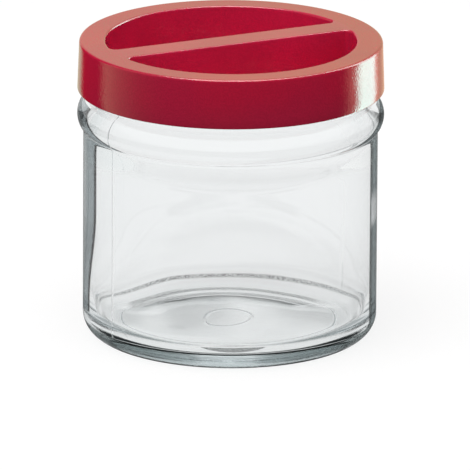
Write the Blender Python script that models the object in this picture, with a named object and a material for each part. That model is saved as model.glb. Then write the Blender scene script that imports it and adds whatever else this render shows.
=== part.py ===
"""Screw-top storage jar: a blown glass jar, a moulded lid with a twist bar, and a seal.

Three pieces stand on one upright axis, Z. The jar stands on its foot ring at z = 0, the
seal lies on the glass rim, and the lid rests on the seal. The lid's cup hangs inside the
mouth, and its skirt hangs outside the neck. The twist bar runs along X.
Lengths are in metres.
"""

import math

import bmesh
import bpy

# Glass jar, outside
BODY_RADIUS = 0.0530
JAR_HEIGHT = 0.1053
HEEL_ROUND = 0.0084
FOOT_WIDTH = 0.0062
PUSH_UP = 0.0026
BULGE_RISE = 0.0022
BULGE_LOWER_ROUND = 0.0105
BULGE_UPPER_ROUND = 0.0073
BULGE_FOOT_ROUND = 0.0012
NECK_SETBACK = 0.0024
NECK_HEIGHT = 0.0154
NECK_FOOT_ROUND = 0.0015
RIM_ROUND = 0.0009

# Glass jar, inside
WALL = 0.0032
FLOOR_THICKNESS = 0.0048
FLOOR_CROWN = 0.0012
INNER_HEEL_ROUND = 0.0078
NECK_WALL = 0.0029
INNER_BULGE_RISE = 0.0012
INNER_LOWER_ROUND = 0.0140
INNER_UPPER_ROUND = 0.0090
INNER_FOOT_ROUND = 0.0060
INNER_NECK_ROUND = 0.0040

# Seal
SEAL_THICKNESS = 0.0015
SEAL_OVERHANG = 0.0012
SEAL_EDGE_ROUND = 0.0003

# Lid
LID_WALL = 0.0020
THREAD_ROOM = 0.0020
CUP_CLEARANCE = 0.0006
SKIRT_STANDOFF = 0.0016
SKIRT_DRAFT = math.radians(1.9)
LID_EDGE_ROUND = 0.0010
SKIRT_EDGE_ROUND = 0.0004
CUP_EDGE_ROUND = 0.0012

# Finger pockets and twist bar
POCKET_DEPTH = 0.0135
POCKET_DRAFT = math.radians(1.5)
POCKET_CORNER = 0.0025
POCKET_EDGE_ROUND = 0.0008
POCKET_FLOOR_ROUND = 0.0012
BAR_WIDTH = 0.0114

# Gap between pieces that touch, and how far a cutter runs past a face
CLEARANCE = 0.0003
OVERRUN = 0.0010
MERGE = 0.00001

# Fineness of round shapes
TURN_STEPS = 72
ROUND_STEPS = 4
POCKET_ARC_STEPS = 28
SMOOTH_ANGLE = math.radians(32)

# Radii and heights that follow from the sizes above
BULGE_RADIUS = BODY_RADIUS + BULGE_RISE
NECK_RADIUS = BODY_RADIUS - NECK_SETBACK
BORE_RADIUS = NECK_RADIUS - NECK_WALL
INNER_RADIUS = BODY_RADIUS - WALL
INNER_BULGE_RADIUS = INNER_RADIUS + INNER_BULGE_RISE
SHOULDER_Z = JAR_HEIGHT - NECK_HEIGHT

SEAL_Z = JAR_HEIGHT + CLEARANCE
LID_SEAT_Z = SEAL_Z + SEAL_THICKNESS + CLEARANCE
LID_TOP_Z = LID_SEAT_Z + LID_WALL
SKIRT_BOTTOM_Z = SHOULDER_Z + SKIRT_STANDOFF
CUP_BOTTOM_Z = LID_TOP_Z - POCKET_DEPTH - LID_WALL

CUP_RADIUS = BORE_RADIUS - CUP_CLEARANCE
POCKET_RADIUS = CUP_RADIUS - LID_WALL
SKIRT_INNER_RADIUS = NECK_RADIUS + THREAD_ROOM
LID_RADIUS = SKIRT_INNER_RADIUS + LID_WALL
SEAL_INNER_RADIUS = CUP_RADIUS + CLEARANCE
SEAL_OUTER_RADIUS = NECK_RADIUS + SEAL_OVERHANG


def clear_scene():
    """Empty the file, so that the script can be run again from the text editor."""
    for old in list(bpy.data.objects):
        bpy.data.objects.remove(old, do_unlink=True)


def arc(centre, radius, start, end, steps=ROUND_STEPS):
    """Points (r, z) along a circle from angle start to angle end, both included."""
    turn = (end - start) / steps
    return [
        (
            centre[0] + radius * math.cos(start + turn * i),
            centre[1] + radius * math.sin(start + turn * i),
        )
        for i in range(steps + 1)
    ]


def dome(radius, rise, z, steps=ROUND_STEPS):
    """Points of a shallow spherical dish, from its centre at height z + rise to its rim."""
    ball = (radius**2 + rise**2) / (2 * rise)
    reach = math.asin(radius / ball)
    points = arc((0, z + rise - ball), ball, math.pi / 2, math.pi / 2 - reach, steps)
    return [(0, z + rise)] + points[1:]


def run_out(straight, fillet, belly, belly_round):
    """Where a fillet leads a straight cylinder into a bulge of the given round.

    The bulge's round has its centre on the line of its widest place, and the fillet lies
    against both. Returns the height of the fillet's centre above or below that line, and
    the slope angle at which fillet and bulge meet.
    """
    across = straight + fillet - (belly - belly_round)
    along = math.sqrt((belly_round + fillet) ** 2 - across**2)
    return along, math.atan2(along, across)


def shoulder(body, belly, neck, z_neck, rounds, steps=ROUND_STEPS):
    """A bulge between body and neck, as (r, z) points from the bottom to the top."""
    foot_round, lower_round, upper_round, neck_round = rounds
    rise, upper_angle = run_out(neck, neck_round, belly, upper_round)
    fall, lower_angle = run_out(body, foot_round, belly, lower_round)
    z_wide = z_neck - rise
    foot = arc(
        (body + foot_round, z_wide - fall), foot_round, math.pi, math.pi - lower_angle, steps // 2
    )
    lower = arc((belly - lower_round, z_wide), lower_round, -lower_angle, 0, steps)
    upper = arc((belly - upper_round, z_wide), upper_round, 0, upper_angle, steps)
    top = arc((neck + neck_round, z_neck), neck_round, math.pi + upper_angle, math.pi, steps // 2)
    return foot + lower[1:] + upper[1:] + top[1:]


def turned(name, outline, z, closed=False):
    """A solid of revolution, from an outline that runs down its outer side."""
    mesh = bpy.data.meshes.new(name)
    count = len(outline)
    edges = [(i, i + 1) for i in range(count - 1)]
    if closed:
        edges.append((count - 1, 0))
    mesh.from_pydata([(r, 0, height - z) for r, height in outline], edges, [])
    piece = bpy.data.objects.new(name, mesh)
    piece.location.z = z
    bpy.context.collection.objects.link(piece)
    screw = piece.modifiers.new("turn", "SCREW")
    screw.axis = "Z"
    screw.angle = 2 * math.pi
    screw.steps = TURN_STEPS
    screw.render_steps = TURN_STEPS
    screw.use_merge_vertices = True
    screw.merge_threshold = MERGE
    return piece


def lofted(name, levels):
    """A closed solid through outlines of equal point count, each given as (z, points)."""
    shape = bmesh.new()
    rings = [[shape.verts.new((x, y, z)) for x, y in points] for z, points in levels]
    for low, high in zip(rings, rings[1:]):
        for i in range(len(low)):
            j = (i + 1) % len(low)
            shape.faces.new((low[i], low[j], high[j], high[i]))
    shape.faces.new(list(reversed(rings[0])))
    shape.faces.new(rings[-1])
    mesh = bpy.data.meshes.new(name)
    shape.to_mesh(mesh)
    shape.free()
    cutter = bpy.data.objects.new(name, mesh)
    cutter.hide_render = True
    cutter.display_type = "WIRE"
    bpy.context.collection.objects.link(cutter)
    return cutter


def cut(piece, cutter):
    """Take the cutter's shape out of the piece."""
    boolean = piece.modifiers.new(cutter.name, "BOOLEAN")
    boolean.operation = "DIFFERENCE"
    boolean.solver = "EXACT"
    boolean.object = cutter


def finish(piece, colour, roughness, transmission=0.0, ior=1.5):
    """Keep the shape that the modifiers give, shade it, and give it its material."""
    seen = piece.evaluated_get(bpy.context.evaluated_depsgraph_get())
    mesh = bpy.data.meshes.new_from_object(seen)
    piece.modifiers.clear()
    piece.data = mesh
    mesh.name = piece.name
    mesh.shade_smooth()
    mesh.set_sharp_from_angle(angle=SMOOTH_ANGLE)
    material = bpy.data.materials.new(piece.name)
    material.use_nodes = True
    shader = material.node_tree.nodes["Principled BSDF"]
    shader.inputs["Base Color"].default_value = (*colour, 1.0)
    shader.inputs["Roughness"].default_value = roughness
    shader.inputs["Metallic"].default_value = 0.0
    shader.inputs["Transmission Weight"].default_value = transmission
    shader.inputs["IOR"].default_value = ior
    mesh.materials.clear()
    mesh.materials.append(material)
    return piece


def glass_profile():
    """The blown glass from the middle of its floor, up inside, over the rim and down."""
    floor_edge = INNER_RADIUS - INNER_HEEL_ROUND
    floor_z = PUSH_UP + FLOOR_THICKNESS - FLOOR_CROWN
    foot_outer = BODY_RADIUS - HEEL_ROUND
    floor = dome(floor_edge, FLOOR_CROWN, floor_z)
    inner_heel = arc(
        (floor_edge, floor_z + INNER_HEEL_ROUND), INNER_HEEL_ROUND, -math.pi / 2, 0, ROUND_STEPS + 1
    )
    inside = shoulder(
        INNER_RADIUS,
        INNER_BULGE_RADIUS,
        BORE_RADIUS,
        SHOULDER_Z,
        (INNER_FOOT_ROUND, INNER_LOWER_ROUND, INNER_UPPER_ROUND, INNER_NECK_ROUND),
    )
    rim_z = JAR_HEIGHT - RIM_ROUND
    rim_inside = arc((BORE_RADIUS + RIM_ROUND, rim_z), RIM_ROUND, math.pi, math.pi / 2, 2)
    rim_outside = arc((NECK_RADIUS - RIM_ROUND, rim_z), RIM_ROUND, math.pi / 2, 0, 2)
    outside = shoulder(
        BODY_RADIUS,
        BULGE_RADIUS,
        NECK_RADIUS,
        SHOULDER_Z,
        (BULGE_FOOT_ROUND, BULGE_LOWER_ROUND, BULGE_UPPER_ROUND, NECK_FOOT_ROUND),
    )
    heel = arc((foot_outer, HEEL_ROUND), HEEL_ROUND, 0, -math.pi / 2, ROUND_STEPS + 1)
    underside = dome(foot_outer - FOOT_WIDTH, PUSH_UP, 0)
    return (
        floor
        + inner_heel[1:]
        + inside
        + rim_inside
        + rim_outside
        + outside[::-1]
        + heel
        + underside[::-1]
    )


def make_jar():
    """The glass: foot ring, pushed-up base, upright wall, bulge, neck and rim."""
    return finish(turned("jar", glass_profile(), 0), (0.90, 0.95, 0.94), 0.03, 1.0, 1.52)


def make_seal():
    """A soft flat ring that lies on the rim, round the lid's cup."""
    low = SEAL_Z
    high = SEAL_Z + SEAL_THICKNESS
    inner = SEAL_INNER_RADIUS
    outer = SEAL_OUTER_RADIUS
    edge = SEAL_EDGE_ROUND
    outline = [
        (inner + edge, high),
        (outer - edge, high),
        (outer, high - edge),
        (outer, low + edge),
        (outer - edge, low),
        (inner + edge, low),
        (inner, low + edge),
        (inner, high - edge),
    ]
    return finish(turned("seal", outline, SEAL_Z, closed=True), (0.86, 0.86, 0.83), 0.55)


def lid_profile():
    """The moulding before its pockets are cut: top, skirt, ring channel and solid cup."""
    skirt_flare = (LID_TOP_Z - SKIRT_BOTTOM_Z) * math.tan(SKIRT_DRAFT)
    cup_taper = (LID_SEAT_Z - CUP_BOTTOM_Z) * math.tan(POCKET_DRAFT)
    skirt_outer = LID_RADIUS + skirt_flare
    skirt_inner = SKIRT_INNER_RADIUS + skirt_flare
    cup_bottom = CUP_RADIUS - cup_taper
    top_edge = arc(
        (LID_RADIUS - LID_EDGE_ROUND, LID_TOP_Z - LID_EDGE_ROUND), LID_EDGE_ROUND, math.pi / 2, 0
    )
    skirt_edge_z = SKIRT_BOTTOM_Z + SKIRT_EDGE_ROUND
    skirt_edge_out = arc(
        (skirt_outer - SKIRT_EDGE_ROUND, skirt_edge_z), SKIRT_EDGE_ROUND, 0, -math.pi / 2, 2
    )
    skirt_edge_in = arc(
        (skirt_inner + SKIRT_EDGE_ROUND, skirt_edge_z), SKIRT_EDGE_ROUND, -math.pi / 2, -math.pi, 2
    )
    cup_edge = arc(
        (cup_bottom - CUP_EDGE_ROUND, CUP_BOTTOM_Z + CUP_EDGE_ROUND),
        CUP_EDGE_ROUND,
        0,
        -math.pi / 2,
        ROUND_STEPS - 1,
    )
    channel = [(SKIRT_INNER_RADIUS, LID_SEAT_Z), (CUP_RADIUS, LID_SEAT_Z)]
    return (
        [(0, LID_TOP_Z)]
        + top_edge
        + skirt_edge_out
        + skirt_edge_in
        + channel
        + cup_edge
        + [(0, CUP_BOTTOM_Z)]
    )


def half_moon(inset):
    """One pocket's outline, seen from above, drawn in by inset on every side."""
    corner_y = BAR_WIDTH / 2 + POCKET_CORNER
    corner_x = math.sqrt((POCKET_RADIUS - POCKET_CORNER) ** 2 - corner_y**2)
    meet = math.atan2(corner_y, corner_x)
    corner = POCKET_CORNER - inset
    right = arc((corner_x, corner_y), corner, -math.pi / 2, meet)
    round_wall = arc((0, 0), POCKET_RADIUS - inset, meet, math.pi - meet, POCKET_ARC_STEPS)
    left = arc((-corner_x, corner_y), corner, math.pi - meet, 3 * math.pi / 2)
    return right + round_wall[1:-1] + left


def pocket_levels():
    """The pocket's outlines from its floor, with drafted walls and rounded edges."""
    top = LID_TOP_Z - LID_SEAT_Z
    bottom = top - POCKET_DEPTH
    levels = []
    for i in range(ROUND_STEPS):
        turn = math.pi / 2 * i / (ROUND_STEPS - 1)
        z = bottom + POCKET_FLOOR_ROUND * (1 - math.cos(turn))
        draft = (top - z) * math.tan(POCKET_DRAFT)
        levels.append((z, half_moon(draft + POCKET_FLOOR_ROUND * (1 - math.sin(turn)))))
    for i in range(ROUND_STEPS):
        turn = math.pi / 2 * i / (ROUND_STEPS - 1)
        z = top - POCKET_EDGE_ROUND * (1 - math.sin(turn))
        levels.append((z, half_moon(-POCKET_EDGE_ROUND * (1 - math.cos(turn)))))
    levels.append((top + OVERRUN, half_moon(-POCKET_EDGE_ROUND)))
    return levels


def bar_core_levels():
    """The hollow under the twist bar, open below, with round ends."""
    half_width = BAR_WIDTH / 2 - LID_WALL
    reach = POCKET_RADIUS - LID_WALL - half_width
    right = arc((reach, 0), half_width, -math.pi / 2, math.pi / 2)
    left = arc((-reach, 0), half_width, math.pi / 2, 3 * math.pi / 2)
    return [(CUP_BOTTOM_Z - LID_SEAT_Z - OVERRUN, right + left), (0, right + left)]


def make_lid():
    """The moulded lid: two half-moon pockets leave a twist bar across the middle."""
    lid = turned("lid", lid_profile(), LID_SEAT_Z)
    cutters = [
        lofted("pocket_front", pocket_levels()),
        lofted("pocket_back", pocket_levels()),
        lofted("bar_core", bar_core_levels()),
    ]
    cutters[0].rotation_euler.z = math.pi
    for cutter in cutters:
        cutter.location.z = LID_SEAT_Z
        cut(lid, cutter)
    finish(lid, (0.46, 0.008, 0.030), 0.28)
    for cutter in cutters:
        bpy.data.objects.remove(cutter)
    return lid


clear_scene()
make_jar()
make_seal()
make_lid()
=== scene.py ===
"""A screw-top storage jar: blown glass, a red moulded lid with a twist bar, and its seal."""

import math

import bmesh
import bpy
from mathutils import Matrix, Vector, noise


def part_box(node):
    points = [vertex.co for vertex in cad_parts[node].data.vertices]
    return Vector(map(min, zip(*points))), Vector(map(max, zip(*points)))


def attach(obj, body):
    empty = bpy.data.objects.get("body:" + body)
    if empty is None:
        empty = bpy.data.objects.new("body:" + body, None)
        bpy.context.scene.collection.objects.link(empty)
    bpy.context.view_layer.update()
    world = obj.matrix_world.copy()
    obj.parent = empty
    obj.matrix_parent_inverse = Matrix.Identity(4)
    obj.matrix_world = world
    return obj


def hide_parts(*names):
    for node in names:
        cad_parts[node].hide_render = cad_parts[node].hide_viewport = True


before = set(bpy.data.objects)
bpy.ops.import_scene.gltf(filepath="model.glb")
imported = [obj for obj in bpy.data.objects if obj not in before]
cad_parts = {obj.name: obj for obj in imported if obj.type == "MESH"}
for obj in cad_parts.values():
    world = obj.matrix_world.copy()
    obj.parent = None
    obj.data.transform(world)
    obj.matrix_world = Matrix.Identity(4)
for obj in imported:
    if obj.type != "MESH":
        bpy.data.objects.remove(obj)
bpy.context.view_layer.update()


# The jar: clear soda-lime glass, pressed and then blown in a two-part mould. It stands on a narrow
# foot ring round a pushed-up base. Its wall is uneven, with a fine mould seam up each side, and its
# neck carries a two-start thread under a rounded rim.
mm = 0.001
turn = 2 * math.pi
quarter = math.pi / 2
jar_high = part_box("jar")[1]
rim_z = jar_high[2]
bulge_radius = jar_high[0]
body_radius = bulge_radius - 2.2 * mm
neck_radius = body_radius - 2.4 * mm
bore_radius = neck_radius - 2.9 * mm
shoulder_z = rim_z - 15.4 * mm
heel_round = 8.4 * mm
foot_width = 6.2 * mm
push_up = 2.6 * mm
inner_radius = body_radius - 3.2 * mm
inner_heel_round = 7.8 * mm
floor_crown = 2.1 * mm
floor_lean = Vector((-0.44, -0.90)) * 0.45 * mm
floor_z = push_up + 2.45 * mm
rim_round = 1.1 * mm
thread_lead = 12 * mm
thread_height = 1.4 * mm
thread_half_width = 1.3 * mm
thread_fade = 0.15
neck_thread_z = 93.4 * mm
neck_thread_run = 0.74 * turn
seam_angle = math.radians(-168.4)
seam_height = 0.10 * mm
seam_half_width = 0.45 * mm
mark_radius = 8.3 * mm
mark_middle = Vector((-1.0 * mm, 0.5 * mm, 0))
mark_depth = 0.10 * mm
mark_width = 0.40 * mm
grip_depth = 0.60 * mm
grip_width = 0.30 * mm
grip_z = 5.2 * mm
tooth_size = 0.9 * mm
front = (-0.438, -0.899, 0)
along_front = (0.899, -0.438, 0)
thick_side = Vector((-0.90, 0.43))
off_centre = 1.2 * mm
thicker = 0.4 * mm
ripple_depth = 0.16 * mm
floor_ripple = 0.06 * mm
thinner_foot = 2.4 * mm
thin_from = 0.35
thin_below = 16 * mm
full_above = 50 * mm


def arc(centre, radius, start, end, count):
    """Points (r, z) along part of a circle, both ends included."""
    angles = [start + (end - start) * i / count for i in range(count + 1)]
    return [(centre[0] + radius * math.cos(a), centre[1] + radius * math.sin(a)) for a in angles]


def dish(radius, rise, z, count):
    """Points of a shallow round dish, from its middle at z + rise to its edge at z."""
    ball = (radius**2 + rise**2) / (2 * rise)
    reach = math.asin(radius / ball)
    return [(0, z + rise)] + arc((0, z + rise - ball), ball, quarter, quarter - reach, count)[1:]


def line(start, end, count):
    """Points along a straight stretch, without its first one."""
    steps = [i / count for i in range(1, count + 1)]
    return [
        (start[0] + (end[0] - start[0]) * s, start[1] + (end[1] - start[1]) * s) for s in steps
    ]


def shoulder(body, belly, neck, foot_round, lower_round, upper_round, neck_round, nip, tuck):
    """The bulge from the body up to the neck, its rounds running into both by fillets.

    The lower round has the radius lower_round as far as the slope nip, and the radius tuck below.
    """
    across_neck = neck + neck_round - (belly - upper_round)
    rise = math.sqrt((upper_round + neck_round) ** 2 - across_neck**2)
    up = math.atan2(rise, across_neck)
    wide = (belly - lower_round, shoulder_z - rise)
    spare = lower_round - tuck
    tucked = (wide[0] + spare * math.cos(nip), wide[1] - spare * math.sin(nip))
    down = math.acos((body + foot_round - tucked[0]) / (tuck + foot_round))
    foot_z = tucked[1] - (tuck + foot_round) * math.sin(down)
    foot = arc((body + foot_round, foot_z), foot_round, math.pi, math.pi - down, 8)
    lower = arc(tucked, tuck, -down, -nip, 14) + arc(wide, lower_round, -nip, 0, 12)[1:]
    upper = arc((belly - upper_round, wide[1]), upper_round, 0, up, 20)
    top = arc((neck + neck_round, shoulder_z), neck_round, math.pi + up, math.pi, 8)
    return foot + lower[1:] + upper[1:] + top[1:]


def spokes(count, fine_at=(), reach=0):
    """Angles for turning a shape, with more of them close to the places that need them."""
    angles = [turn * i / count for i in range(count)]
    for place in fine_at:
        for i in range(-6, 7):
            angles.append((place + reach * i / 6) % turn)
    return sorted(angles)


def turned(name, outline, angles, place, closed=False):
    """A turned mesh. place(angle, r, z, index) says where each point of it really goes."""
    shape = bmesh.new()
    count = len(angles)
    rings = []
    for index, (r, z) in enumerate(outline):
        around = angles if r > 1e-7 else [0]
        rings.append([shape.verts.new(place(angle, r, z, index)) for angle in around])
    pairs = list(zip(rings, rings[1:]))
    if closed:
        pairs.append((rings[-1], rings[0]))
    for high, low in pairs:
        for i in range(count):
            j = (i + 1) % count
            corners = [high[i % len(high)], low[i % len(low)], low[j % len(low)]]
            corners.append(high[j % len(high)])
            face = shape.faces.new([c for k, c in enumerate(corners) if c not in corners[:k]])
            face.smooth = True
    return made(name, shape)


def made(name, shape):
    """An object in the scene from finished mesh work."""
    bmesh.ops.recalc_face_normals(shape, faces=shape.faces)
    mesh = bpy.data.meshes.new(name)
    shape.to_mesh(mesh)
    shape.free()
    piece = bpy.data.objects.new(name, mesh)
    bpy.context.scene.collection.objects.link(piece)
    return piece


def ease(low, high, value):
    """0 below low, 1 above high, and an even curve between them."""
    share = min(max((value - low) / (high - low), 0), 1)
    return share * share * (3 - 2 * share)


def thread(angle, z, first_z, run):
    """How far a two-start thread stands out at a place: a rounded bead that fades at its ends."""
    out = 0
    for start in (0, math.pi):
        for wind in (0, turn):
            along = (angle - start) % turn + wind
            across = (z - first_z - thread_lead * along / turn) / thread_half_width
            if along < run and abs(across) < 1:
                ends = ease(0, thread_fade, along) * ease(0, thread_fade, run - along)
                out = max(out, thread_height * ends * (1 - across**2) ** 0.8)
    return out


floor_edge = inner_radius - inner_heel_round
inside = dish(floor_edge, floor_crown, floor_z, 24)
inside += arc(
    (floor_edge, floor_z + inner_heel_round), inner_heel_round, -quarter, 0, 22
)[1:]
inner_bulge = shoulder(
    body=inner_radius,
    belly=inner_radius + 2.6 * mm,
    neck=bore_radius,
    foot_round=16 * mm,
    lower_round=26 * mm,
    upper_round=8 * mm,
    neck_round=4 * mm,
    nip=math.radians(5),
    tuck=26 * mm,
)
inside += line(inside[-1], inner_bulge[0], 24)
inside += inner_bulge[1:]
inside += line(inside[-1], (bore_radius, rim_z - rim_round), 8)
inside += arc((bore_radius + rim_round, rim_z - rim_round), rim_round, math.pi, quarter, 5)[1:]
outside = arc((neck_radius - rim_round, rim_z - rim_round), rim_round, quarter, 0, 5)
outside += line(outside[-1], (neck_radius, shoulder_z), 48)
outer_bulge = shoulder(
    body=body_radius,
    belly=bulge_radius,
    neck=neck_radius,
    foot_round=3.0 * mm,
    lower_round=7.5 * mm,
    upper_round=7.3 * mm,
    neck_round=1.5 * mm,
    nip=math.radians(40),
    tuck=1.4 * mm,
)
outside += outer_bulge[::-1][1:]
outside += line(outside[-1], (body_radius, heel_round), 24)
outer_foot = body_radius - heel_round
outside += arc((outer_foot, heel_round), heel_round, 0, -quarter, 72)[1:]
outside += line(outside[-1], (outer_foot - 1 * mm, 0), 4)
outside += line(outside[-1], (outer_foot - foot_width + 1 * mm, 0), 4)
outside += line(outside[-1], (outer_foot - foot_width, 0), 10)
outside += dish(outer_foot - foot_width, push_up, 0, 110)[::-1][1:]


def ridge(offset, width):
    """1 on a line, and falling away smoothly on both sides of it."""
    return math.exp(-((offset / width) ** 2))


def tooth(x, y):
    """How strongly a worn edge stands out at a place, uneven like small teeth."""
    return 0.9 + 0.3 * noise.noise(Vector((x, y, 0)) / tooth_size)


def glass_point(angle, r, z, index):
    """Where a point of the glass lies.

    Inside are the uneven wall and the leaning floor. Outside are the thread on the neck, the
    teeth on the foot ring's inner edge, the seams, the groove in the heel and the base mark.
    """
    x, y = math.cos(angle), math.sin(angle)
    if index < len(inside):
        blown = ease(floor_z + 4 * mm, 22 * mm, z) * ease(8 * mm, 18 * mm, shoulder_z - z)
        side = x * thick_side.x + y * thick_side.y
        ripple = noise.noise(Vector((x * 1.6, y * 1.6, z / (26 * mm))))
        thin = thinner_foot * ease(thin_from, 1, side) * (1 - ease(thin_below, full_above, z))
        r -= blown * (thicker + off_centre * side + ripple_depth * ripple - thin)
        leaning = (floor_lean.x * x + floor_lean.y * y) * r / floor_edge
        z += leaning * (1 - ease(4 * mm, 24 * mm, z - floor_z))
        if r < floor_edge:
            z += floor_ripple * noise.noise(Vector((x * r, y * r, 0)) / (14 * mm))
    elif z > shoulder_z:
        r += thread(angle, z, neck_thread_z, neck_thread_run)
    elif z < 1 * mm and 36 * mm < r < outer_foot - 1 * mm:
        from_edge = r - outer_foot + foot_width
        z += grip_depth * tooth(x * r, y * r) * ridge(from_edge, grip_width)
    elif r > 30 * mm:
        fine = 1 if math.cos(angle - seam_angle) > 0 else 3
        across = math.remainder(angle - seam_angle, math.pi) * r / (fine * seam_half_width)
        if abs(across) < 1:
            r += seam_height * (1 - across**2) ** 2
        at_back = 1 - ease(-0.2, 0.2, front[0] * x + front[1] * y)
        r -= 0.5 * grip_depth * tooth(x * r, y * r) * at_back * ridge(z - grip_z, grip_width)
    elif z > 0:
        from_mark = math.hypot(r * x - mark_middle.x, r * y - mark_middle.y) - mark_radius
        z += mark_depth * ridge(from_mark, mark_width)
    return (r * x, r * y, z)


class Wire:
    """A shader tree, or one socket of it that can be reckoned with like a number."""

    def __init__(self, tree, socket=None):
        self.tree = tree
        self.socket = socket

    def add(self, kind, settings=None, sockets=None, out=0):
        """A node of that type: first its settings, then the values or links of its sockets."""
        node = self.tree.nodes.new(kind)
        for name, value in (settings or {}).items():
            if name == "stops":
                stops = node.color_ramp.elements
                while len(stops) < len(value):
                    stops.new(1.0)
                for stop, (place, colour) in zip(stops, value):
                    stop.position = place
                    stop.color = colour
            else:
                setattr(node, name, value)
        for name, value in (sockets or {}).items():
            if isinstance(value, Wire):
                self.tree.links.new(value.socket, node.inputs[name])
            else:
                node.inputs[name].default_value = value
        return Wire(self.tree, node.outputs[out] if len(node.outputs) else None)

    def maths(self, operation, first, second=0.0):
        """A number worked out from one or two others."""
        return self.add("ShaderNodeMath", {"operation": operation}, {0: first, 1: second})

    def __add__(self, other):
        return self.maths("ADD", self, other)

    def __sub__(self, other):
        return self.maths("SUBTRACT", self, other)

    def __rsub__(self, other):
        return self.maths("SUBTRACT", other, self)

    def __mul__(self, other):
        return self.maths("MULTIPLY", self, other)

    def __truediv__(self, other):
        return self.maths("DIVIDE", self, other)

    __radd__ = __add__
    __rmul__ = __mul__

    def between(self, low, high):
        """0 at low, 1 at high, smooth between, and held beyond."""
        return self.add(
            "ShaderNodeMapRange",
            {"interpolation_type": "SMOOTHSTEP"},
            {"Value": self, "From Min": low, "From Max": high},
        )

    def below(self, low, high):
        """1 at low, 0 at high, smooth between, and held beyond."""
        return 1 - self.between(low, high)

    def within(self, start, full, ending, end):
        """0 up to start, 1 from full to ending, and 0 from end on."""
        return self.between(start, full) - self.between(ending, end)

    def either(self, other):
        """The larger of the two."""
        return self.maths("MAXIMUM", self, other)

    def unsigned(self):
        """This number without its sign."""
        return self.maths("ABSOLUTE", self)

    def colours(self, first, second):
        """The first colour where this is 0, the second where it is 1."""
        return self.add(
            "ShaderNodeMix", {"data_type": "RGBA"}, {0: self, 6: first, 7: second}, 2
        )

    def ramp(self, *stops):
        """The colour that this number picks from a row of stops."""
        return self.add("ShaderNodeValToRGB", {"stops": stops}, {"Fac": self})

    def shaders(self, first, second):
        """The first shader where this is 0, the second where it is 1."""
        return self.add("ShaderNodeMixShader", {}, {0: self, 1: first, 2: second})

    def vector(self, operation, first, second, out=0):
        """A place, direction or length worked out from two others."""
        return self.add("ShaderNodeVectorMath", {"operation": operation}, {0: first, 1: second}, out)

    def dot(self, direction):
        """How far this place or direction reaches along the given one."""
        return self.vector("DOT_PRODUCT", self, direction, "Value")

    def from_axis(self):
        """How far this place is from the jar's upright axis."""
        return self.vector("LENGTH", self.vector("MULTIPLY", self, (1, 1, 0)), (0, 0, 0), "Value")


def finish_for(name):
    """A new material and the wire that starts its shader tree."""
    material = bpy.data.materials.new(name)
    material.use_nodes = True
    material.node_tree.nodes.clear()
    return material, Wire(material.node_tree)


seams = (seam_angle, seam_angle + math.pi)
angles = spokes(384, fine_at=seams, reach=0.011)
glass = turned("jar_glass", inside + outside, angles, glass_point)
clear_glass, wire = finish_for("clear_glass")
facing = wire.add("ShaderNodeLayerWeight", {}, {"Blend": 0.5}, "Facing")
place = wire.add("ShaderNodeTexCoord", {}, {}, "Object")
side = place.dot((thick_side.x / body_radius, thick_side.y / body_radius, 0))
off_axis = place.from_axis()
height = place.dot((0, 0, 1))
across_front = place.dot(along_front)
to_front = place.dot(front)
sideways = across_front.unsigned()

# The wall's edges, painted shade in the glass's colour: where the glass is seen along the wall, it
# is painted with a dark line, then a grey band and a paler edge, standing in for the dark
# surroundings seen through it. The bands are wider on the thick side, and paler half-way up on the
# thin side.
clear = (0.99, 0.998, 1, 1)
nearly_black = (0.015, 0.02, 0.02, 1)
left_heel = side.between(0.3, 0.8) * height.below(9.5 * mm, 12 * mm)
outer_wall = off_axis.between(52.3 * mm, 52.7 * mm) * (1 - left_heel)
thin = side.between(thin_from, 1) * height.below(thin_below, full_above)
wider_on_thick_side = 0.0565
narrower_where_thin = 0.115
rim_of_wall = facing + wider_on_thick_side * side - narrower_where_thin * thin
rim_of_wall = rim_of_wall * outer_wall
thick_side_painted_shade = rim_of_wall.ramp(
    (0.645, clear),
    (0.660, (0.01, 0.01, 0.01, 1)),
    (0.680, (0.02, 0.02, 0.02, 1)),
    (0.705, (0.135, 0.165, 0.175, 1)),
    (0.770, (0.170, 0.205, 0.220, 1)),
    (0.810, (0.125, 0.155, 0.165, 1)),
    (0.860, (0.250, 0.290, 0.300, 1)),
    (0.920, (0.480, 0.520, 0.530, 1)),
)
thin_side_painted_shade = rim_of_wall.ramp(
    (0.645, clear),
    (0.655, (0.03, 0.035, 0.035, 1)),
    (0.690, (0.02, 0.025, 0.025, 1)),
    (0.740, (0.085, 0.115, 0.120, 1)),
    (0.800, (0.042, 0.058, 0.062, 1)),
    (0.860, (0.170, 0.210, 0.220, 1)),
    (0.940, (0.560, 0.610, 0.620, 1)),
)
tint_and_painted_shade = side.between(-0.6, 0.6).colours(thin_side_painted_shade, thick_side_painted_shade)
# Painted light: a paler patch in the bands half-way up on the thin side.
painted_light_patch = height.within(43 * mm, 47 * mm, 51 * mm, 58 * mm) * side.below(-0.8, -0.4)
tint_and_painted_shade = (painted_light_patch * rim_of_wall.between(0.66, 0.70)).colours(tint_and_painted_shade, (0.42, 0.45, 0.46, 1))

# The heel in front, painted shade in the glass's colour: clear in the middle, and painted darker
# green-grey towards both sides.
from_middle = (across_front + 0.6 * mm).unsigned() / (50 * mm)
heel_painted_shade = from_middle.ramp(
    (0.16, clear),
    (0.25, (0.46, 0.50, 0.50, 1)),
    (0.36, (0.31, 0.35, 0.35, 1)),
    (0.54, (0.14, 0.165, 0.165, 1)),
    (0.80, (0.065, 0.08, 0.08, 1)),
)
front_heel = height.within(1.8 * mm, 3.6 * mm, 6.8 * mm, 7.4 * mm)
front_heel = front_heel * off_axis.between(45 * mm, 46 * mm) * to_front.between(0, 10 * mm)
tint_and_painted_shade = front_heel.colours(tint_and_painted_shade, heel_painted_shade)
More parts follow.
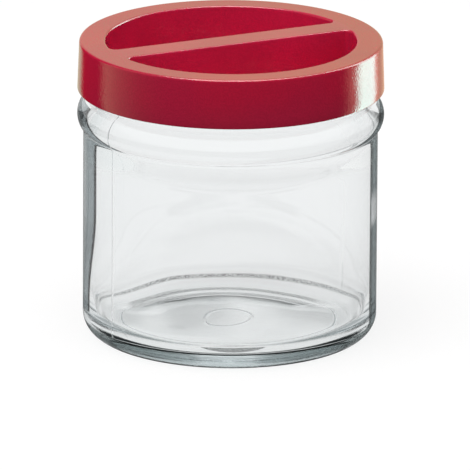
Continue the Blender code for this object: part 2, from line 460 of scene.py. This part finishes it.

# Painted shade, dark and speckled, for the dark lines seen in the thick base: the groove at the back
# of the heel, the foot ring's inner edge at the back with its wider left end, and a lens-shaped
# patch on the ring in front. The foot ring and the lower heel have a fine pebbled skin.
spots = wire.add("ShaderNodeTexNoise", {}, {"Vector": place, "Scale": 1600.0, "Detail": 1.0})
specks = spots.between(0.38, 0.62)
upper_edge = height.within(3.6 * mm, 4.6 * mm, 5.6 * mm, 6.4 * mm)
upper_edge = upper_edge * off_axis.between(50 * mm, 51 * mm) * to_front.below(-10 * mm, 10 * mm)
inner_edge = off_axis.within(38.4 * mm, 39.4 * mm, 42.6 * mm, 43.8 * mm)
inner_edge = inner_edge * sideways.below(28 * mm, 36 * mm) * to_front.below(-4 * mm, 4 * mm)
inner_edge = inner_edge * height.below(1.0 * mm, 1.6 * mm)
left_end = (0 - across_front).within(16 * mm, 23 * mm, 32 * mm, 35 * mm)
left_end = left_end * off_axis.within(36.2 * mm, 37.4 * mm, 44.2 * mm, 45.4 * mm)
left_end = left_end * to_front.below(-8 * mm, 0) * height.below(1.2 * mm, 1.8 * mm)
inner_edge = inner_edge.either(left_end)
off_middle = across_front - 1.5 * mm
lens_bend = 46
front_edge = off_axis - lens_bend * off_middle * off_middle
front_edge = front_edge.between(41.6 * mm, 42.4 * mm)
front_edge = front_edge * off_axis.below(49.2 * mm, 49.8 * mm)
front_edge = front_edge * to_front.between(20 * mm, 25 * mm) * height.below(2.0 * mm, 2.8 * mm)
painted_dark_lines = inner_edge * (0.55 * specks + 0.48) + front_edge * (0.30 * specks + 0.68)
painted_dark_lines = painted_dark_lines + upper_edge * (0.45 * specks + 0.45)

pebbled = height.below(5.0 * mm, 5.4 * mm) * off_axis.between(38.2 * mm, 38.6 * mm)
pips = wire.add("ShaderNodeTexNoise", {}, {"Vector": place, "Scale": 1800.0, "Detail": 1.0})
shine = wire.add(
    "ShaderNodeBsdfPrincipled",
    {},
    {
        "Base Color": painted_dark_lines.colours(tint_and_painted_shade, nearly_black),
        "Normal": wire.add(
            "ShaderNodeBump",
            {},
            {"Strength": 0.5, "Distance": 0.06 * mm, "Height": pips * pebbled},
        ),
        "Roughness": 0.0,
        "IOR": 1.52,
        "Transmission Weight": 1.0,
    },
)

# Clear glass lets soft light and its own shadow through with little loss.
let_through = wire.add("ShaderNodeBsdfTransparent", {}, {"Color": (0.93, 0.95, 0.945, 1)})
shadow_ray = wire.add("ShaderNodeLightPath", {}, {}, "Is Shadow Ray")
diffuse_ray = wire.add("ShaderNodeLightPath", {}, {}, "Is Diffuse Ray")
look = shadow_ray.either(diffuse_ray).shaders(shine, let_through)

# Light that stays inside the thick glass is piped round in it, turn after turn. After the third
# turn it ends on a painted glow, emission set by place: bright from the middle of the front and at
# both corners, grey or dark in the rest of the heel and foot, and clear in the wall above.
painted_glows = {}
for name, colour in (
    ("clear", (0.995, 0.995, 0.99, 1)),
    ("bright", (1.0, 1.0, 1.0, 1)),
    ("grey", (0.50, 0.52, 0.525, 1)),
    ("dark", (0.02, 0.025, 0.025, 1)),
):
    painted_glows[name] = wire.add("ShaderNodeEmission", {}, {"Color": colour})
in_middle = sideways.below(2 * mm, 6 * mm) * to_front.below(-26 * mm, -18 * mm)
corner = to_front.within(-38 * mm, -35 * mm, -15 * mm, -12 * mm)
corner = sideways.between(22 * mm, 26 * mm) * corner
corner = corner.either(sideways.between(38 * mm, 42 * mm))
foot_glow = off_axis.between(38 * mm, 46 * mm).shaders(painted_glows["grey"], painted_glows["dark"])
heel_glow = in_middle.shaders(painted_glows["dark"], painted_glows["bright"])
heel_glow = height.below(2.5 * mm, 4 * mm).shaders(heel_glow, foot_glow)
heel_glow = corner.shaders(heel_glow, painted_glows["bright"])
painted_piped_glow = height.below(9 * mm, 14 * mm).shaders(painted_glows["clear"], heel_glow)
turns_inside = wire.add("ShaderNodeLightPath", {}, {}, "Glossy Depth")
look = wire.maths("GREATER_THAN", turns_inside, 3.5).shaders(look, painted_piped_glow)
thickness = wire.add(
    "ShaderNodeVolumeAbsorption", {}, {"Color": (0.38, 0.52, 0.55, 1), "Density": 6.0}
)
wire.add("ShaderNodeOutputMaterial", {}, {"Surface": look, "Volume": thickness})
glass.data.materials.append(clear_glass)
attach(glass, "jar")
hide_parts("jar")


# The seal: a soft off-white ring, stamped from food-grade rubber sheet. It is pressed up into the
# lid's ring channel and lies on the rim of the glass when the lid is closed.
seal_low, seal_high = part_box("seal")
seal_edge = 0.3 * mm
seal_width = 4.4 * mm
seal_outer = seal_high[0] - seal_edge
seal_inner = seal_outer + 2 * seal_edge - seal_width
seal_top = seal_high[2] - seal_edge
seal_bottom = seal_low[2] + seal_edge
seal_outline = arc((seal_inner, seal_top), seal_edge, math.pi, quarter, 4)
seal_outline += arc((seal_outer, seal_top), seal_edge, quarter, 0, 4)
seal_outline += arc((seal_outer, seal_bottom), seal_edge, 0, -quarter, 4)
seal_outline += arc((seal_inner, seal_bottom), seal_edge, -quarter, -math.pi, 4)


def seal_point(angle, r, z, index):
    """Where a point of the seal lies."""
    return (r * math.cos(angle), r * math.sin(angle), z)


seal = turned("seal_ring", seal_outline, spokes(180), seal_point, closed=True)
soft_rubber, wire = finish_for("soft_rubber")
place = wire.add("ShaderNodeTexCoord", {}, {}, "Object")
cloud = wire.add("ShaderNodeTexNoise", {}, {"Vector": place, "Scale": 220.0, "Detail": 3.0})
pores = wire.add("ShaderNodeTexNoise", {}, {"Vector": place, "Scale": 4200.0, "Detail": 2.0})
rubber = wire.add(
    "ShaderNodeBsdfPrincipled",
    {},
    {
        "Base Color": cloud.between(0.35, 0.65).colours(
            (0.80, 0.79, 0.74, 1), (0.86, 0.855, 0.81, 1)
        ),
        "Roughness": 0.42 + 0.12 * cloud,
        "IOR": 1.43,
        "Normal": wire.add(
            "ShaderNodeBump", {}, {"Strength": 0.25, "Distance": 0.05 * mm, "Height": pores}
        ),
    },
)
wire.add("ShaderNodeOutputMaterial", {}, {"Surface": rubber})
seal.data.materials.append(soft_rubber)
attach(seal, "seal")
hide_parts("seal")


# The lid: one injection moulding in opaque red plastic, glossy from a polished mould. Two half-moon
# finger pockets hang in the jar's mouth and leave a twist bar between them, cored out from below.
# The skirt flares a little towards its lower edge, and carries the thread inside.
lid_low, lid_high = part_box("lid")
top_z = lid_high[2]
skirt_bottom_z = lid_low[2]
lid_wall = 2 * mm
seat_z = top_z - lid_wall
lid_radius = body_radius + 1.6 * mm
skirt_inner = lid_radius - lid_wall
flare = math.tan(math.radians(1.9))
lid_edge_round = 1.0 * mm
skirt_edge_round = 0.4 * mm
channel_round = 0.5 * mm
cup_radius = bore_radius - 0.6 * mm
cup_bottom_z = top_z - 15.5 * mm
cup_edge_round = 1.2 * mm
pocket_radius = cup_radius - lid_wall
pocket_floor_z = top_z - 13.5 * mm
pocket_edge_round = 0.8 * mm
pocket_floor_round = 1.2 * mm
pocket_corner = 2.5 * mm
draft = math.tan(math.radians(1.5))
bar_half_width = 5.7 * mm
core_half_width = bar_half_width - lid_wall
core_reach = pocket_radius - lid_wall - core_half_width
lid_thread_z = neck_thread_z + 3.35 * mm
lid_thread_run = 0.5 * turn


def half_moon(inset):
    """One pocket's outline, seen from above, drawn in by inset on every side."""
    corner_y = bar_half_width + pocket_corner
    corner_x = math.sqrt((pocket_radius - pocket_corner) ** 2 - corner_y**2)
    meet = math.atan2(corner_y, corner_x)
    corner = pocket_corner - inset
    right = arc((corner_x, corner_y), corner, -quarter, meet, 14)
    rounded = arc((0, 0), pocket_radius - inset, meet, math.pi - meet, 110)
    left = arc((-corner_x, corner_y), corner, math.pi - meet, 3 * quarter, 14)
    return right + rounded[1:-1] + left


def slot(half_width):
    """A long slot with round ends along the bar."""
    right = arc((core_reach, 0), half_width, -quarter, quarter, 16)
    left = arc((-core_reach, 0), half_width, quarter, 3 * quarter, 16)
    return right + left


def skin(shape, rings):
    """Smooth faces through rings of equal count."""
    for high, low in zip(rings, rings[1:]):
        for i in range(len(high)):
            j = (i + 1) % len(high)
            shape.faces.new((high[i], low[i], low[j], high[j])).smooth = True


def flat(shape, *loops):
    """A flat face that fills the first loop and leaves the others open."""
    if len(loops) == 1:
        shape.faces.new(loops[0])
        return
    edges = []
    for loop in loops:
        for i in range(len(loop)):
            edges.append(shape.edges.get((loop[i], loop[(i + 1) % len(loop)])))
    bmesh.ops.triangle_fill(shape, use_beauty=True, use_dissolve=False, edges=edges)


skirt_drop = top_z - skirt_bottom_z
skirt_foot = lid_radius + skirt_drop * flare
inner_foot = skirt_inner + skirt_drop * flare
cup_foot = cup_radius - (seat_z - cup_bottom_z) * draft
skirt_edge_z = skirt_bottom_z + skirt_edge_round
channel_z = seat_z - channel_round
cup_edge_z = cup_bottom_z + cup_edge_round
skirt_outline = arc(
    (lid_radius - lid_edge_round, top_z - lid_edge_round), lid_edge_round, quarter, 0, 6
)
skirt_outline += line(skirt_outline[-1], (skirt_foot, skirt_edge_z), 6)
skirt_outline += arc(
    (skirt_foot - skirt_edge_round, skirt_edge_z), skirt_edge_round, 0, -quarter, 4
)[1:]
skirt_outline += arc(
    (inner_foot + skirt_edge_round, skirt_edge_z), skirt_edge_round, -quarter, -math.pi, 4
)
thread_from = len(skirt_outline)
skirt_outline += line(skirt_outline[-1], (skirt_inner, channel_z), 48)
thread_to = len(skirt_outline) - 1
skirt_outline += arc((skirt_inner - channel_round, channel_z), channel_round, 0, quarter, 4)[1:]
skirt_outline += arc((cup_radius + channel_round, channel_z), channel_round, quarter, math.pi, 4)
skirt_outline += line(skirt_outline[-1], (cup_foot, cup_edge_z), 4)
skirt_outline += arc((cup_foot - cup_edge_round, cup_edge_z), cup_edge_round, 0, -quarter, 6)[1:]

shape = bmesh.new()
lid_rings = []
for index, (r, z) in enumerate(skirt_outline):
    ring = []
    for angle in spokes(256):
        out = r
        if thread_from <= index < thread_to:
            out -= thread(angle, z, lid_thread_z, lid_thread_run)
        ring.append(shape.verts.new((out * math.cos(angle), out * math.sin(angle), z)))
    lid_rings.append(ring)
skin(shape, lid_rings)

pocket_levels = []
for i in range(7):
    bend = quarter * i / 6
    z = top_z - pocket_edge_round * (1 - math.cos(bend))
    pocket_levels.append((z, -pocket_edge_round * (1 - math.sin(bend))))
for i in range(7):
    bend = quarter * i / 6
    z = pocket_floor_z + pocket_floor_round * (1 - math.sin(bend))
    pull = (top_z - z) * draft + pocket_floor_round * (1 - math.cos(bend))
    pocket_levels.append((z, pull))
pocket_mouths = []
for half in (1, -1):
    pocket_rings = []
    for z, inset in pocket_levels:
        pocket_rings.append(
            [shape.verts.new((half * x, half * y, z)) for x, y in half_moon(inset)]
        )
    skin(shape, pocket_rings)
    flat(shape, pocket_rings[-1])
    pocket_mouths.append(pocket_rings[0])
flat(shape, lid_rings[0], *pocket_mouths)

core_levels = [(cup_bottom_z, 0.3 * mm), (cup_bottom_z + 0.3 * mm, 0), (seat_z - 0.8 * mm, 0)]
core_levels += [(seat_z - 0.2 * mm, -0.2 * mm), (seat_z, -0.8 * mm)]
core_rings = []
for z, widen in core_levels:
    core_rings.append([shape.verts.new((x, y, z)) for x, y in slot(core_half_width + widen)])
skin(shape, core_rings)
flat(shape, core_rings[-1])
flat(shape, lid_rings[-1], core_rings[0])
lid = made("lid_moulding", shape)

red_plastic, wire = finish_for("red_plastic")
place = wire.add("ShaderNodeTexCoord", {}, {}, "Object")
flow = wire.add("ShaderNodeTexNoise", {}, {"Vector": place, "Scale": 34.0, "Detail": 2.0})
grain = wire.add("ShaderNodeTexNoise", {}, {"Vector": place, "Scale": 1500.0, "Detail": 1.0})
lower_red_painted_shade = (0.430, 0.0140, 0.047, 1)
upper_red = (0.540, 0.0105, 0.0455, 1)
pocket_red_painted_light = (0.570, 0.0130, 0.064, 1)
flow_red = (0.46, 0.0125, 0.052, 1)
grain_red = (0.22, 0.0060, 0.028, 1)
# Painted shade: the skirt's red is darker towards its lower edge.
up_skirt = place.dot((0, 0, 1)).between(skirt_bottom_z, skirt_bottom_z + 14 * mm)
red = up_skirt.colours(lower_red_painted_shade, upper_red)
# Painted light: the red is painted brighter inside the finger pockets, to lift their shade.
past_pocket = place.from_axis().between(pocket_radius + 0.4 * mm, pocket_radius + 1.4 * mm)
red = past_pocket.colours(pocket_red_painted_light, red)
red = (0.6 * flow.between(0.35, 0.65)).colours(red, flow_red)
red = (0.16 * grain.between(0.38, 0.62)).colours(red, grain_red)
plastic = wire.add(
    "ShaderNodeBsdfPrincipled",
    {},
    {
        "Base Color": red,
        "Roughness": 0.05 + 0.04 * grain,
        "IOR": 1.5,
        "Normal": wire.add(
            "ShaderNodeBump", {}, {"Strength": 0.60, "Distance": 0.10 * mm, "Height": grain}
        ),
    },
)
wire.add("ShaderNodeOutputMaterial", {}, {"Surface": plastic})
lid.data.materials.append(red_plastic)
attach(lid, "lid")
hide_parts("lid")


# The floor and the light: the jar stands on a wide sheet of white card. A large soft lamp hangs
# above it, and the room is white behind it, bright at its right and darker in front.
floor_shape = bmesh.new()
floor_rings = []
for reach in (0.25, 1.0, 6.0):
    around = [(reach * math.cos(a), reach * math.sin(a), -0.05 * mm) for a in spokes(64)]
    floor_rings.append([floor_shape.verts.new(point) for point in around])
skin(floor_shape, floor_rings)
flat(floor_shape, floor_rings[0])
card = made("white_card", floor_shape)
white_card, wire = finish_for("white_card")
camera_ray = wire.add("ShaderNodeLightPath", {}, {}, "Is Camera Ray")
through_ray = wire.add("ShaderNodeLightPath", {}, {}, "Is Transmission Ray")
paper = wire.add(
    "ShaderNodeBsdfPrincipled",
    {},
    {
        "Base Color": (0.28, 0.28, 0.28, 1),
        "Roughness": 0.9,
        "Specular IOR Level": 0.0,
        "Emission Color": through_ray.colours(
            camera_ray.colours((0, 0, 0, 1), (0.74, 0.74, 0.74, 1)), (0.655, 0.655, 0.655, 1)
        ),
        "Emission Strength": 1.0,
    },
)
wire.add("ShaderNodeOutputMaterial", {}, {"Surface": paper})
card.data.materials.append(white_card)
card.visible_glossy = False

studio = bpy.data.worlds.new("studio")
bpy.context.scene.world = studio
studio.use_nodes = True
studio.node_tree.nodes.clear()
wire = Wire(studio.node_tree)
kind_of_ray = {}
for kind in ("Camera", "Glossy", "Singular", "Transmission"):
    kind_of_ray[kind] = wire.add("ShaderNodeLightPath", {}, {}, "Is " + kind + " Ray")
towards = wire.add("ShaderNodeTexCoord", {}, {}, "Generated")
rise = towards.dot((0, 0, 1))
azimuth = math.radians(-26)
to_right = towards.dot((math.cos(azimuth), math.sin(azimuth), 0))
to_front = towards.dot((math.sin(azimuth), -math.cos(azimuth), 0))
round_to = wire.maths("ARCTAN2", to_right, to_front) * (180 / math.pi)

# What the glossy lid shows, by the angle round from the front. On the left are a pale wall, a red
# screen and a warm strip of light, and the front is dark. On the right are a warm wall, a bright
# panel and the backdrop. A bright ceiling is overhead.
left_to_front = (round_to / 360 + 0.5).ramp(
    (0.000, (0.80, 0.76, 0.56, 1)),
    (0.070, (0.80, 0.76, 0.56, 1)),
    (0.078, (0.70, 0.01, 0.03, 1)),
    (0.183, (0.70, 0.01, 0.03, 1)),
    (0.188, (1.60, 0.95, 0.62, 1)),
    (0.204, (1.60, 0.95, 0.62, 1)),
    (0.245, (0.90, 0.54, 0.36, 1)),
    (0.300, (0.20, 0.18, 0.12, 1)),
    (0.360, (0.06, 0.05, 0.04, 1)),
    (0.500, (0.04, 0.03, 0.02, 1)),
)
panel = round_to.within(109, 114, 139, 141)
panel_light = round_to.between(112, 137).colours((7.3, 10.9, 9.8, 1), (4.6, 6.1, 5.7, 1))
backdrop = rise.between(-0.12, 0.12).colours((1.05, 0.68, 0.46, 1), (0.50, 0.88, 0.50, 1))
lid_sees = round_to.between(93, 108).colours(left_to_front, (2.6, 1.2, 0.9, 1))
lid_sees = round_to.between(143, 150).colours(lid_sees, backdrop)
lid_sees = panel.colours(lid_sees, panel_light)
lid_sees = rise.between(0.87, 0.95).colours(lid_sees, (11, 9.6, 9.0, 1))

# What the glass reflects, and what is seen through it: low down the room is white only straight
# behind the jar, and higher up it is white all round.
glass_reflects = rise.between(-0.02, 0.02).colours((0.12, 0.12, 0.12, 1), (0.95, 0.95, 0.95, 1))
low_room = (round_to.unsigned() / 180).ramp(
    (0.830, (0.08, 0.085, 0.085, 1)),
    (0.900, (0.16, 0.17, 0.17, 1)),
    (0.960, (0.32, 0.33, 0.335, 1)),
    (0.980, (0.44, 0.45, 0.455, 1)),
    (0.990, (0.62, 0.63, 0.635, 1)),
    (0.996, (1.00, 1.00, 1.00, 1)),
)
seen_through = rise.between(0.30, 0.45).colours(low_room, (0.97, 0.97, 0.97, 1))
room = kind_of_ray["Glossy"].colours((0.62, 0.62, 0.62, 1), lid_sees)
room = kind_of_ray["Singular"].colours(room, glass_reflects)
room = kind_of_ray["Transmission"].colours(room, seen_through)
room = kind_of_ray["Camera"].colours(room, (1, 1, 1, 1))
light = wire.add("ShaderNodeBackground", {}, {"Color": room, "Strength": 1.0})
wire.add("ShaderNodeOutputWorld", {}, {"Surface": light})

lamp = bpy.data.lights.new("soft_top", "AREA")
lamp.shape = "DISK"
lamp.size = 1.6
lamp.energy = 21
soft_top = bpy.data.objects.new("soft_top", lamp)
soft_top.location = (-0.5, -0.4, 1.9)
aim = Vector((0, 0, 0.05)) - soft_top.location
soft_top.rotation_euler = aim.to_track_quat("-Z", "Y").to_euler()
soft_top.visible_glossy = False
soft_top.visible_transmission = False
bpy.context.scene.collection.objects.link(soft_top)


# The camera: a long lens, far back and a little above the jar. It stands 26 degrees to the left of
# the line square to the twist bar, the same way that the room is turned.
elevation = math.radians(16.42)
roll = math.radians(0.347)
distance = 4.756
picture_width = 470
focal_pixels = 13187
across = Vector((math.cos(azimuth), math.sin(azimuth), 0))
back = Vector(
    (
        math.sin(azimuth) * math.cos(elevation),
        -math.cos(azimuth) * math.cos(elevation),
        math.sin(elevation),
    )
)
up = back.cross(across)
middle_of_picture = across * 1.82 * mm + Vector((0, 0, 36.26 * mm))
rolled_across = across * math.cos(roll) + up * math.sin(roll)
rolled_up = back.cross(rolled_across)
lens = bpy.data.cameras.new("camera")
lens.sensor_width = 36
lens.lens = focal_pixels / picture_width * lens.sensor_width
camera = bpy.data.objects.new("camera", lens)
stand = Matrix((rolled_across, rolled_up, back)).transposed().to_4x4()
stand.translation = middle_of_picture + back * distance
camera.matrix_world = stand
bpy.context.scene.collection.objects.link(camera)
bpy.context.scene.camera = camera
bpy.context.scene.view_settings.view_transform = "Standard"
